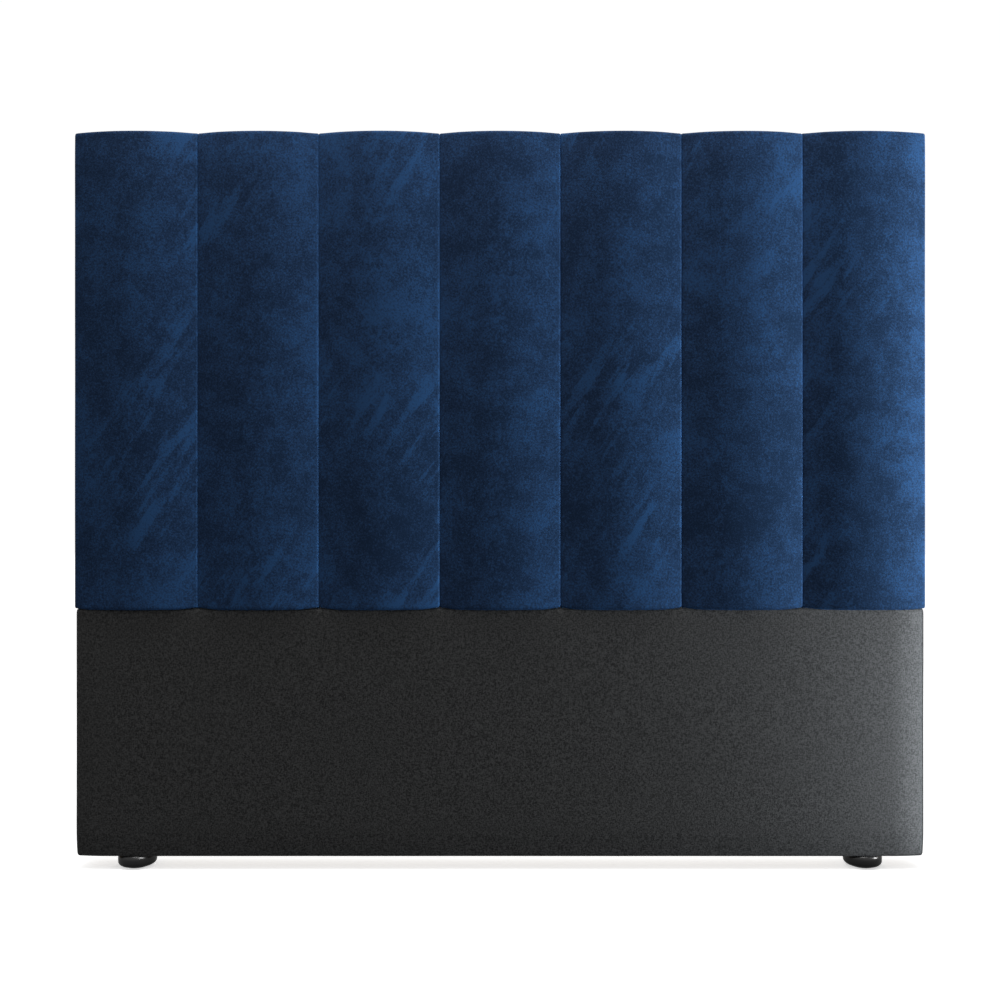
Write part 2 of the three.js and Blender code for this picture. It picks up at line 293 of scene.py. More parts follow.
def steps(low: float, high: float, size: float) -> list[float]:
    """Evenly spaced places strictly between two ends, no further apart than size."""
    count = max(math.ceil((high - low) / size), 1)
    return [low + (high - low) * i / count for i in range(1, count)]


def lies_at(edge: bmesh.types.BMEdge, axis: int, value: float) -> bool:
    """True if an edge lies in the plane where its X, Y or Z (axis 0, 1 or 2) has a value."""
    return all(abs(v.co[axis] - value) < TINY for v in edge.verts)


def bevel_where(
    bm: bmesh.types.BMesh,
    test: Callable[[bmesh.types.BMEdge], bool],
    offset: float,
    segments: int,
) -> None:
    """Rounds the edges that pass a test.

    Args:
        bm: the mesh.
        test: picks the edges.
        offset: how far the round starts from the edge.
        segments: faces across the round.
    """
    bmesh.ops.bevel(
        bm,
        geom=[e for e in bm.edges if test(e)],
        offset=offset,
        segments=segments,
        affect="EDGES",
        profile=0.5,
        material=-1,
        clamp_overlap=True,
    )


def delete_where(bm: bmesh.types.BMesh, test: Callable[[bmesh.types.BMFace], bool]) -> None:
    """Takes out the faces that pass a test.

    Args:
        bm: the mesh.
        test: picks the faces.
    """
    bmesh.ops.delete(bm, geom=[f for f in bm.faces if test(f)], context="FACES")


def finish_mesh(bm: bmesh.types.BMesh, name: str) -> bpy.types.Object:
    """Turns a bmesh into a smooth-shaded object in the scene.

    Args:
        bm: the mesh, which is freed.
        name: the object's name.

    Returns:
        The object, at the origin.
    """
    mesh = bpy.data.meshes.new(name)
    bm.to_mesh(mesh)
    bm.free()
    mesh.shade_smooth()
    piece = bpy.data.objects.new(name, mesh)
    bpy.context.collection.objects.link(piece)
    return piece


def declare(piece: bpy.types.Object, finish: bpy.types.Material, slot: str, *nodes: str) -> None:
    """Dresses a piece, fixes it to the body and hides the CAD nodes that it stands for.

    Args:
        piece: the object.
        finish: its material.
        slot: not used.
        *nodes: the CAD nodes that it stands for.
    """
    piece.data.materials.clear()
    piece.data.materials.append(finish)
    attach(piece, BODY)
    if nodes:
        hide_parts(*nodes)
    LOG.info("%s: %s", piece.name, finish.name)


# ------------------------------------------------------------------ finishes


class Grain(Enum):
    """The way that a board's grain runs."""

    ACROSS = 0
    UPRIGHT = 2


@dataclass(frozen=True)
class Finish:
    """A named material."""

    name: str

    def recipe(self, tree: Tree) -> dict[str | int, object]:
        """Adds the finish's nodes to a tree.

        Args:
            tree: the material's node tree.

        Returns:
            What feeds each input of the shader.
        """
        raise NotImplementedError

    def material(self) -> bpy.types.Material:
        """Builds the material."""
        return new_material(self.name, self.recipe)


@dataclass(frozen=True)
class BrushedVelvet(Finish):
    """Short-pile polyester velvet, brushed by hand.

    The pile leans different ways, so the cloth shows soft lighter and darker patches and slanting
    brush strokes. These patches are painted sheen and painted shade of the pile in the base colour,
    with some random tone. Its fibre tips catch light along edges that turn away.
    """

    name: str = "navy_brushed_velvet"
    # The three colours run from painted shade of the pile, through the cloth's tone, to painted sheen of
    # the pile.
    deep: str = "#162439"
    middle: str = "#1e2f49"
    painted_sheen_pale: str = "#223d60"
    roughness: float = 0.7
    gloss: float = 0.02
    sheen: float = 0.1
    sheen_roughness: float = 0.4
    sheen_tint: str = "#4f8fe6"
    patch_mm: float = 190
    patch_depth: float = 0.85
    cloud_mm: float = 52
    cloud_depth: float = 0.24
    area_mm: float = 330
    stroke_mm: tuple[float, float, float] = (22, 60, 150)
    stroke_lean: float = math.radians(-32)
    stroke_depth: float = 0.7
    pile_mm: float = 3.4  # true tufts are under 1 mm: drawn coarser, so that they show
    pile_depth: float = 1.95
    shade: float = -0.625  # brings the mean of all the patterns to the middle of the ramp

    def recipe(self, tree: Tree) -> dict[str | int, object]:
        """Layers noise on the cloth's own coordinates.

        Args:
            tree: the material's node tree.

        Returns:
            What feeds each input of the shader.
        """
        cloth = add_node(tree, "ShaderNodeAttribute", attribute_name="cloth").outputs["Vector"]
        patches = pattern(tree, cloth, self.patch_mm, Detail=3.0, Distortion=0.3)
        clouds = pattern(tree, cloth, self.cloud_mm, Detail=7.0, Roughness=0.68)
        pile = pattern(tree, cloth, self.pile_mm, Detail=2.0, Roughness=0.8)
        areas = pattern(tree, cloth, self.area_mm)
        lean = {"Vector": cloth, "Rotation": (0.0, self.stroke_lean, 0.0)}
        leaning = add_node(tree, "ShaderNodeMapping", lean).outputs[0]
        strokes = drawn_out(tree, leaning, self.stroke_mm, Detail=5.0, Distortion=0.5)
        brushed = remap(tree, areas, (0.47, 0.64), (0.0, 0.6), "SMOOTHSTEP")
        stroke = remap(tree, strokes, (0.5, 0.6), (-0.06, 1.0))
        worked = maths(tree, "MULTIPLY", brushed, stroke)
        soft = maths(tree, "MULTIPLY_ADD", patches, self.patch_depth, -self.patch_depth / 2)
        crisp = remap(tree, clouds, (0.4, 0.6), ease="SMOOTHSTEP")
        mottled = maths(tree, "MULTIPLY_ADD", crisp, self.cloud_depth, soft)
        nap = maths(tree, "MULTIPLY_ADD", worked, self.stroke_depth, mottled)
        tufts = maths(tree, "MULTIPLY_ADD", pile, self.pile_depth, nap)
        # The ramp paints the pile's sheen and shade into the base colour, mixed with random tone.
        deep, middle, painted_sheen_pale = linear(self.deep), linear(self.middle), linear(self.painted_sheen_pale)
        lightness = maths(tree, "ADD", tufts, self.shade)
        # Painted sheen and shade: pile that leans towards the eye is painted paler, and is also made a
        # little smoother.
        smoother = (self.roughness + 0.1, self.roughness - 0.08)
        return {
            "Base Color": ramp(tree, lightness, (0.2, deep), (0.5, middle), (0.85, painted_sheen_pale)),
            "Roughness": remap(tree, nap, (-0.1, 0.4), smoother),
            "Normal": relief(tree, pile, 0.25, 0.4 * MM),
            "Specular IOR Level": self.gloss,
            "Sheen Weight": self.sheen,
            "Sheen Roughness": self.sheen_roughness,
            "Sheen Tint": linear(self.sheen_tint),
        }


@dataclass(frozen=True)
class WovenUpholstery(Finish):
    """Plain-weave charcoal polyester with a melange yarn: a fine speckle of light and dark threads."""

    name: str = "charcoal_woven_polyester"
    dark: str = "#040404"
    light: str = "#323232"
    roughness: float = 0.5
    gloss: float = 0.25
    fuzz: float = 0.08
    fuzz_tint: str = "#cfd4d8"
    thread_mm: float = 2.0  # true yarns are about 0.8 mm: drawn coarser, so that they show
    slub_mm: float = 5  # how far a thread keeps its shade

    def recipe(self, tree: Tree) -> dict[str | int, object]:
        """Crosses two sets of threads.

        Args:
            tree: the material's node tree.

        Returns:
            What feeds each input of the shader.
        """
        place = object_place(tree)
        thread, slub = self.thread_mm, self.slub_mm
        upright = drawn_out(tree, place, (thread, thread, slub), Detail=2.0, Roughness=0.75)
        across = drawn_out(tree, place, (slub, thread, thread), Detail=2.0, Roughness=0.75)
        weave = maths(tree, "ADD", upright, across)
        mean = maths(tree, "MULTIPLY", weave, 0.5)
        # The paler yarns are worn a little smoother.
        smoother = (self.roughness + 0.06, self.roughness - 0.06)
        return {
            "Base Color": ramp(tree, mean, (0.42, linear(self.dark)), (0.58, linear(self.light))),
            "Roughness": remap(tree, weave, (0.7, 1.3), smoother),
            "Normal": relief(tree, weave, 0.3, 0.3 * MM),
            "Specular IOR Level": self.gloss,
            "Sheen Weight": self.fuzz,
            "Sheen Tint": linear(self.fuzz_tint),
        }


@dataclass(frozen=True)
class SpunbondLining(Finish):
    """Black spunbond polypropylene: matt, with a faint grid of heat-pressed dots."""

    name: str = "black_spunbond_lining"
    base: str = "#17181a"
    pressed: str = "#0d0e0f"
    roughness: float = 0.85
    dot_mm: float = 3.0  # true dots are about 1 mm apart: drawn coarser, so that they show
    fibre_mm: float = 14

    def recipe(self, tree: Tree) -> dict[str | int, object]:
        """Lays a regular field of dots over fibres.

        Args:
            tree: the material's node tree.

        Returns:
            What feeds each input of the shader.
        """
        place = object_place(tree)
        field_of_dots = {"Vector": place, "Scale": per_mm(self.dot_mm), "Randomness": 0.15}
        dots = add_node(tree, "ShaderNodeTexVoronoi", field_of_dots).outputs["Distance"]
        fibres = pattern(tree, place, self.fibre_mm, Detail=6.0)
        both = maths(tree, "MULTIPLY_ADD", fibres, 0.5, dots)
        return {
            "Base Color": ramp(tree, both, (0.3, linear(self.pressed)), (0.75, linear(self.base))),
            "Roughness": self.roughness,
            "Normal": relief(tree, dots, 0.3, 0.2 * MM),
        }


@dataclass(frozen=True)
class GlossPlastic(Finish):
    """Injection-moulded black ABS with a polished mould: small clear highlights, slightly wavy."""

    name: str = "gloss_black_moulded_abs"
    base: str = "#0a0a0b"
    ior: float = 1.52
    roughness: float = 0.26
    wave_mm: float = 9

    def recipe(self, tree: Tree) -> dict[str | int, object]:
        """Adds faint waves.

        Args:
            tree: the material's node tree.

        Returns:
            What feeds each input of the shader.
        """
        waves = pattern(tree, object_place(tree), self.wave_mm, Detail=4.0)
        duller = (self.roughness - 0.05, self.roughness + 0.08)
        return {
            "Base Color": linear(self.base),
            "Roughness": remap(tree, waves, (0.3, 0.7), duller),
            "Normal": relief(tree, waves, 0.05, 0.1 * MM),
            "IOR": self.ior,
        }


@dataclass(frozen=True)
class Timber(Finish):
    """Planed softwood: pale, with darker growth rings drawn out along the grain."""

    grain: Grain
    early: str = "#d3b07c"
    late: str = "#a97c48"
    roughness: float = 0.7
    ring_mm: float = 7
    grain_length_mm: float = 260

    def recipe(self, tree: Tree) -> dict[str | int, object]:
        """Draws growth rings out along the grain.

        Args:
            tree: the material's node tree.

        Returns:
            What feeds each input of the shader.
        """
        sizes = [self.ring_mm] * 3
        sizes[self.grain.value] = self.grain_length_mm
        rings = drawn_out(tree, object_place(tree), sizes, Detail=6.0, Distortion=0.5)
        return {
            "Base Color": ramp(tree, rings, (0.38, linear(self.late)), (0.62, linear(self.early))),
            "Roughness": self.roughness,
            "Normal": relief(tree, rings, 0.15, 0.2 * MM),
        }


@dataclass(frozen=True)
class Speckled(Finish):
    """A bulk material with cells, fibres or spangle of a real size, such as foam, felt or zinc."""

    dark: str
    light: str
    cell_mm: float
    roughness: float
    metallic: float = 0.0
    variation: float = 0.08

    def recipe(self, tree: Tree) -> dict[str | int, object]:
        """Uses one cell pattern throughout.

        Args:
            tree: the material's node tree.

        Returns:
            What feeds each input of the shader.
        """
        cells = pattern(tree, object_place(tree), self.cell_mm, Detail=4.0, Roughness=0.7)
        duller = (self.roughness - self.variation, self.roughness + self.variation)
        return {
            "Base Color": ramp(tree, cells, (0.35, linear(self.dark)), (0.65, linear(self.light))),
            "Roughness": remap(tree, cells, new=duller),
            "Normal": relief(tree, cells, 0.2, 0.2 * MM),
            "Metallic": self.metallic,
        }


# ------------------------------------------------------------------ soft goods


@dataclass(frozen=True)
class ClothSettling:
    """A short cloth simulation that lets a padded skin swell against what holds it."""

    pressure: float = 4.0
    frames: int = 20
    quality: int = 6
    mass: float = 0.2
    stretch: float = 40
    shear: float = 20
    bending: float = 2.0
    cap: float = 2.5 * MM  # no point ends up further than this from where it was cut

    def settle(self, piece: bpy.types.Object, held: Callable[[Vector], float]) -> None:
        """Runs the simulation and keeps its result in the mesh.

        Args:
            piece: the skin, with no modifiers.
            held: how firmly each point is held, from 0 to 1.
        """
        rest = [v.co.copy() for v in piece.data.vertices]
        pins = piece.vertex_groups.new(name="held")
        for index, point in enumerate(rest):
            pins.add([index], held(point), "REPLACE")
        cloth = piece.modifiers.new("settling", "CLOTH")
        rules = cloth.settings
        rules.quality = self.quality
        rules.mass = self.mass
        rules.tension_stiffness = rules.compression_stiffness = self.stretch
        rules.shear_stiffness = self.shear
        rules.bending_stiffness = self.bending
        rules.use_pressure = True
        rules.uniform_pressure_force = self.pressure
        rules.vertex_group_mass = pins.name
        rules.effector_weights.gravity = 0
        cloth.point_cache.frame_start = 1
        cloth.point_cache.frame_end = self.frames
        scene = bpy.context.scene
        for step in range(1, self.frames + 1):
            scene.frame_set(step)
        graph = bpy.context.evaluated_depsgraph_get()
        settled = [v.co.copy() for v in piece.evaluated_get(graph).data.vertices]
        piece.modifiers.remove(cloth)
        piece.vertex_groups.remove(pins)
        scene.frame_set(1)
        largest = 0.0
        for vertex, start, end in zip(piece.data.vertices, rest, settled, strict=True):
            move = end - start
            largest = max(largest, move.length)
            vertex.co = start + move * (self.cap / (self.cap + move.length))
        LOG.info("%s moved up to %.1f mm before its cap", piece.name, largest / MM)


def thicken(piece: bpy.types.Object, thickness: float) -> None:
    """Gives a skin its cloth's thickness and a smooth surface, with crisp ends.

    Args:
        piece: the skin.
        thickness: how thick the cloth is.
    """
    wall = piece.modifiers.new("cloth_thickness", "SOLIDIFY")
    wall.thickness = thickness
    wall.offset = -1
    wall.edge_crease_outer = wall.edge_crease_inner = 1
    soft = piece.modifiers.new("soft", "SUBSURF")
    soft.levels = soft.render_levels = 1


@dataclass
class VelvetChannels:
    """The seven upright channels: one velvet skin each, sewn to its neighbours."""

    count: int = CHANNELS
    fold: float = 34 * MM  # cloth turned onto the back
    turn_in: float = 12 * MM
    cover: float = 1.6 * MM
    corner: float = 7 * MM
    edge: float = 5 * MM
    outer_corner: float = 8 * MM
    rear_edge: float = 2.5 * MM
    seam_roll: float = 4.4 * MM
    flat_roll: float = 0.3  # share of the roll's depth that is left on the back and the top
    allowance: float = 13 * MM
    swell: float = 1.6 * MM  # room for the settling to fill
    seam_pull: float = 2.8 * MM  # how far a seam lifts the lower edge
    pull_reach: float = 42 * MM
    drop: float = 3 * MM  # how far the lower edge hangs over the plain section
    rise: float = 1 * MM
    tuck: float = 0.8 * MM  # how far the top edge is drawn back
    pucker: float = 0.5 * MM
    pucker_reach: float = 10 * MM
    pucker_waves: float = 60
    lump: float = 0.9 * MM
    lump_waves: tuple[float, float] = (7, 5)  # across and up
    row: float = 9 * MM
    layer: float = 7 * MM
    column: float = 8 * MM
    seam_columns: tuple[float, ...] = (6 * MM, 8 * MM, 12 * MM, 17 * MM)
    settling: ClothSettling = field(default_factory=ClothSettling)

    def __post_init__(self) -> None:
        """Reads the channels' sizes from the CAD panels."""
        self.low, self.high = corners("velvet_panel_4")
        self.half = (self.high.x - self.low.x) / 2
        self.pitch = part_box("velvet_panel_5")[0][0] - self.low.x
        self.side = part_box("velvet_panel_7")[1][0] - self.pitch * (self.count // 2)
        self.crown_y = self.low.y
        sagitta = self.measure_sagitta()
        self.seam_y = self.crown_y + sagitta
        self.radius = (self.half**2 + sagitta**2) / (2 * sagitta)
        LOG.info("pitch %.4f, side %.4f, sagitta %.4f", self.pitch, self.side, sagitta)

    def measure_sagitta(self) -> float:
        """Measures how far a crown stands in front of its seams, on the CAD panel's own points.

        Returns:
            The distance.
        """
        panel = frame["nodes"]["velvet_panel_4"].data
        at_seam = [v.co.y for v in panel.vertices if abs(abs(v.co.x) - self.half) < 0.1 * MM]
        return min(at_seam) - self.crown_y

    def crown(self, x: float) -> float:
        """How far behind the crown's line the cloth lies at a distance from the channel's middle."""
        reach = min(abs(x), self.radius)
        return self.radius - math.sqrt(self.radius**2 - reach**2)

    def columns(self, right: float) -> list[float]:
        """Places of the cuts across a channel, close together beside each seam.

        Args:
            right: the right-hand end of the skin.

        Returns:
            Coordinates from the channel's middle.
        """
        near = self.seam_columns
        left_cuts = [d - self.half for d in near]
        right_cuts = [self.half - d for d in near] if right <= self.half else []
        inner = steps(near[-1] - self.half, right - near[-1], self.column)
        return sorted([*left_cuts, *inner, *right_cuts])

    def skin(self, name: str, right: float) -> bpy.types.Object:
        """Makes one channel's skin, centred on X = 0, before it is settled.

        Args:
            name: the object's name.
            right: where the skin ends on the right, past the seam if it turns round the side.

        Returns:
            The open skin, with its seam allowances turned in.
        """
        at_side = right > self.half
        low = Vector((-self.half, self.seam_y, self.low.z))
        high = Vector((right, self.high.y, self.high.z))
        bm = box_mesh(low, high)
        bevel_where(bm, lambda e: lies_at(e, 1, low.y) and lies_at(e, 2, high.z), self.corner, 5)
        bevel_where(bm, lambda e: lies_at(e, 1, low.y) and lies_at(e, 2, low.z), self.edge, 4)
        bevel_where(bm, lambda e: lies_at(e, 1, high.y) and lies_at(e, 2, high.z), self.rear_edge, 2)
        if at_side:
            front = self.outer_corner
            bevel_where(bm, lambda e: lies_at(e, 0, high.x) and not lies_at(e, 1, high.y), front, 4)
            bevel_where(bm, lambda e: lies_at(e, 1, high.y) and e.verts[0].co.x > 0, self.rear_edge, 2)
        bevel_where(bm, lambda e: lies_at(e, 0, low.x), self.seam_roll, 4)
        if not at_side:
            bevel_where(bm, lambda e: lies_at(e, 0, high.x), self.seam_roll, 4)
        slice_mesh(bm, 2, steps(low.z + self.edge, high.z - self.corner, self.row))
        slice_mesh(bm, 1, steps(low.y + self.corner, high.y - self.rear_edge, self.layer))
        slice_mesh(bm, 1, [low.y + self.turn_in, low.y + self.allowance])
        slice_mesh(bm, 0, self.columns(right))
        slice_mesh(bm, 2, [high.z - self.fold, high.z - self.allowance])
        if at_side:
            slice_mesh(bm, 0, [right - self.fold])

        def hidden(face: bmesh.types.BMFace) -> bool:
            """Picks the parts of the box that no cloth covers.

            Args:
                face: a face of the box.

            Returns:
                True for a face that is left open.
            """
            middle, normal = face.calc_center_median(), face.normal
            if normal.y > 0.9:
                inward = not at_side or middle.x < right - self.fold
                return inward and middle.z < high.z - self.fold
            if normal.z < -0.9:
                lip = middle.y < low.y + self.turn_in
                return not lip and not (at_side and middle.x > right - self.turn_in)
            if abs(normal.x) > 0.99 and not (at_side and middle.x > 0):
                inner = middle.y > low.y + self.allowance
                return inner and middle.z < high.z - self.allowance
            return False

        delete_where(bm, hidden)
        bmesh.ops.remove_doubles(bm, verts=bm.verts, dist=WELD)
        depth = high.y - self.seam_y
        for vertex in bm.verts:
            point = vertex.co
            if self.seam_gap(point.x, at_side) < self.seam_roll:
                if high.y - point.y < self.seam_roll:
                    point.y = high.y - self.flat_roll * (high.y - point.y)
                if high.z - point.z < self.seam_roll and point.y > low.y + self.corner:
                    point.z = high.z - self.flat_roll * (high.z - point.z)
            reach = self.high.y - self.crown_y - self.swell - self.crown(point.x)
            point.y = high.y - (high.y - point.y) * reach / depth
        bmesh.ops.recalc_face_normals(bm, faces=bm.faces)
        if sum(f.normal.y * f.calc_area() for f in bm.faces) > 0:
            bmesh.ops.reverse_faces(bm, faces=bm.faces)
        return finish_mesh(bm, name)

    def seam_gap(self, x: float, at_side: bool) -> float:
        """How far a point of a skin lies from the nearest of its seams."""
        return max(self.half + x if at_side else self.half - abs(x), 0.0)

    def hold(self, point: Vector) -> float:
        """Says how firmly the tacks, the seams and the frame hold a point of a skin.

        Args:
            point: the point.

        Returns:
            From 0, free, to 1, fixed.
        """
        seam = 1 - smooth(self.half - abs(point.x), 4.5 * MM, 16 * MM)
        back = smooth(point.y, self.seam_y + 10 * MM, self.seam_y + 22 * MM)
        ends = 1 - smooth(min(point.z - self.low.z, self.high.z - point.z), 5 * MM, 30 * MM)
        return min(max(seam, back, ends), 1.0)

    def shape(self, index: int, piece: bpy.types.Object, at_side: bool) -> None:
        """Draws a settled skin into its seams and gives it the unevenness of sewn padding.

        Args:
            index: the channel, from 0 on the left.
            piece: the skin, centred on X = 0.
            at_side: true if it turns round a side instead of ending in a second seam.
        """
        for vertex in piece.data.vertices:
            point = vertex.co
            gap = self.seam_gap(point.x, at_side)
            front = 1 - smooth(point.y, self.seam_y, self.seam_y + 20 * MM)
            along = Vector(((point.z + point.y) * self.pucker_waves, index * 3.7, 0.5))
            pucker = self.pucker * math.exp(-gap / self.pucker_reach) * noise.noise(along)
            place = Vector((point.x * self.lump_waves[0], index * 5.3, point.z * self.lump_waves[1]))
            lump = self.lump * noise.noise(place) * smooth(gap, 4 * MM, 60 * MM)
            lift = self.seam_pull * (1 - smooth(gap, 0, self.pull_reach))
            lift *= 1 - smooth(point.y, self.seam_y + 3 * MM, self.seam_y + 9 * MM)
            near_low = 1 - smooth(point.z, self.low.z + 4 * MM, self.low.z + 60 * MM)
            near_top = smooth(point.z, self.high.z - 60 * MM, self.high.z - 4 * MM)
            over_edge = 1 - smooth(point.y, self.seam_y + 1 * MM, self.seam_y + 8 * MM)
            at_low = 1 - smooth(point.z, self.low.z + 2 * MM, self.low.z + 40 * MM)
            point.y += (pucker + lump + self.tuck * near_top**2) * front
            point.z += lift * near_low - self.drop * over_edge * at_low
            point.z += (self.rise - 0.2 * lift) * near_top

    def mark_cloth(self, index: int, piece: bpy.types.Object) -> None:
        """Stores the cloth's own coordinates, which start somewhere new on each panel.

        Args:
            index: the channel, from 0 on the left.
            piece: the skin.
        """
        cloth = piece.data.attributes.new("cloth", "FLOAT_VECTOR", "POINT")
        offset = Vector((0, 0.83, 0.29)) * index
        for vertex, entry in zip(piece.data.vertices, cloth.data, strict=True):
            entry.vector = vertex.co + offset

    def build(self, finish: bpy.types.Material) -> None:
        """Makes, settles and dresses all the channels.

        Args:
            finish: the velvet.
        """
        middle = self.skin("middle_skin", self.half)
        end = self.skin("end_skin", self.side)
        self.settling.settle(middle, self.hold)
        self.settling.settle(end, self.hold)
        for index in range(self.count):
            at_side = index in (0, self.count - 1)
            source = end if at_side else middle
            piece = bpy.data.objects.new(f"velvet_channel_{index + 1}", source.data.copy())
            bpy.context.collection.objects.link(piece)
            self.shape(index, piece, at_side)
            if index == 0:
                piece.data.transform(Matrix.Scale(-1, 4, (1, 0, 0)))
                piece.data.flip_normals()
            centre = self.pitch * (index - self.count // 2)
            piece.data.transform(Matrix.Translation((centre, 0, 0)))
            self.mark_cloth(index, piece)
            thicken(piece, self.cover)
            declare(piece, finish, "velvet", f"velvet_panel_{index + 1}")
        for pattern in (middle, end):
            mesh = pattern.data
            bpy.data.objects.remove(pattern)
            bpy.data.meshes.remove(mesh)


@dataclass
class LowerSection:
    """The plain padded section under the channels, in one woven cover."""

    cover: float = 1.5 * MM
    corner: float = 7 * MM
    edge: float = 5 * MM
    top_edge: float = 7 * MM
    fold: float = 34 * MM  # cloth turned onto the back
    turn_in: float = 7 * MM
    top_turn: float = 17 * MM
    fall: float = 5 * MM  # how far the padding is drawn back beside the corners
    fall_width: float = 60 * MM
    under_fall: float = 5 * MM  # and above the underside
    under_height: float = 50 * MM
    hang: float = 4 * MM  # makes up for what the rounded edges lose
    spread: float = 0.5 * MM
    lump: float = 0.5 * MM
    lump_waves: tuple[float, float] = (5, 6)  # across and up
    cell: float = 11 * MM
    settling: ClothSettling = field(default_factory=lambda: ClothSettling(cap=1.2 * MM))

    def __post_init__(self) -> None:
        """Reads the section's size from the CAD cover."""
        self.low, self.high = corners("lower_cover")

    def skin(self) -> bpy.types.Object:
        """Makes the cover's open skin: front, sides, underside and the folds on the back.

        Returns:
            The skin.
        """
        low, high = self.low, self.high
        bm = box_mesh(low, high)

        def corner(edge: bmesh.types.BMEdge) -> bool:
            """True for the upright edges at the front."""
            at_side = lies_at(edge, 0, low.x) or lies_at(edge, 0, high.x)
            return at_side and lies_at(edge, 1, low.y)

        def rim(edge: bmesh.types.BMEdge, level: float) -> bool:
            """True for the sharp edges at a level, other than at the back."""
            outer = lies_at(edge, 2, level) and not lies_at(edge, 1, high.y)
            return outer and edge.calc_face_angle(0) > 1

        bevel_where(bm, corner, self.corner, 6)
        bevel_where(bm, lambda e: rim(e, low.z), self.edge, 5)
        bevel_where(bm, lambda e: rim(e, high.z), self.top_edge, 3)
        slice_mesh(bm, 0, steps(low.x + self.corner, high.x - self.corner, self.cell))
        slice_mesh(bm, 2, steps(low.z + self.edge, high.z - self.top_edge, self.cell))
        slice_mesh(bm, 1, steps(low.y + self.corner, high.y, self.cell))
        slice_mesh(bm, 1, [low.y + self.turn_in, low.y + self.top_turn])
        slice_mesh(bm, 0, [low.x + self.fold, high.x - self.fold])
        slice_mesh(bm, 2, [low.z + self.fold])

        def hidden(face: bmesh.types.BMFace) -> bool:
            """Picks the parts of the box that no cloth covers.

            Args:
                face: a face of the box.

            Returns:
                True for a face that is left open.
            """
            middle, normal = face.calc_center_median(), face.normal
            if normal.y > 0.9:
                inward = low.x + self.fold < middle.x < high.x - self.fold
                return inward and middle.z > low.z + self.fold
            if abs(middle.x) > high.x - self.top_edge - 2 * MM:
                return False
            if normal.z > 0.9:
                return middle.y > low.y + self.top_turn
            return normal.z < -0.9 and middle.y > low.y + self.turn_in

        delete_where(bm, hidden)
        bmesh.ops.remove_doubles(bm, verts=bm.verts, dist=WELD)
        depth = high.y - low.y
        for vertex in bm.verts:
            point = vertex.co
            forward = 1 - smooth(point.y, low.y + 2 * MM, low.y + 7 * MM)
            near_low = 1 - smooth(point.z, low.z, low.z + 4 * self.edge)
            point.y += self.fall_at(point) * (high.y - point.y) / depth
            point.z -= self.hang * near_low * forward
            point.x += math.copysign(self.spread, point.x)
        return finish_mesh(bm, "lower_section_cover")

    def fall_at(self, point: Vector) -> float:
        """Says how far back the padding falls away near the sides and the underside.

        Args:
            point: a point of the front.

        Returns:
            The distance, towards +Y.
        """
        out = max(abs(point.x) - self.high.x + self.fall_width, 0) / self.fall_width
        down = max(self.low.z + self.under_height - point.z, 0) / self.under_height
        return self.fall * out**2 + self.under_fall * down**2

    def hold(self, point: Vector) -> float:
        """Says how firmly the tacks and the frame hold a point of the cover.

        Args:
            point: the point.

        Returns:
            From 0, free, to 1, fixed.
        """
        back = smooth(point.y, self.low.y + 12 * MM, self.low.y + 24 * MM)
        ends = 1 - smooth(min(point.z - self.low.z, self.high.z - point.z), 6 * MM, 40 * MM)
        sides = 1 - smooth(self.high.x - abs(point.x), 8 * MM, 50 * MM)
        return max(back, ends, sides)

    def build(self, finish: bpy.types.Material) -> None:
        """Makes, settles and dresses the cover.

        Args:
            finish: the woven cloth.
        """
        piece = self.skin()
        self.settling.settle(piece, self.hold)
        for vertex in piece.data.vertices:
            point = vertex.co
            front = 1 - smooth(point.y, self.low.y + 4 * MM, self.low.y + 20 * MM)
            place = Vector((point.x * self.lump_waves[0], 1.7, point.z * self.lump_waves[1]))
            point.y += self.lump * noise.noise(place) * front
        thicken(piece, self.cover)
        declare(piece, finish, "woven_cover", "lower_cover")


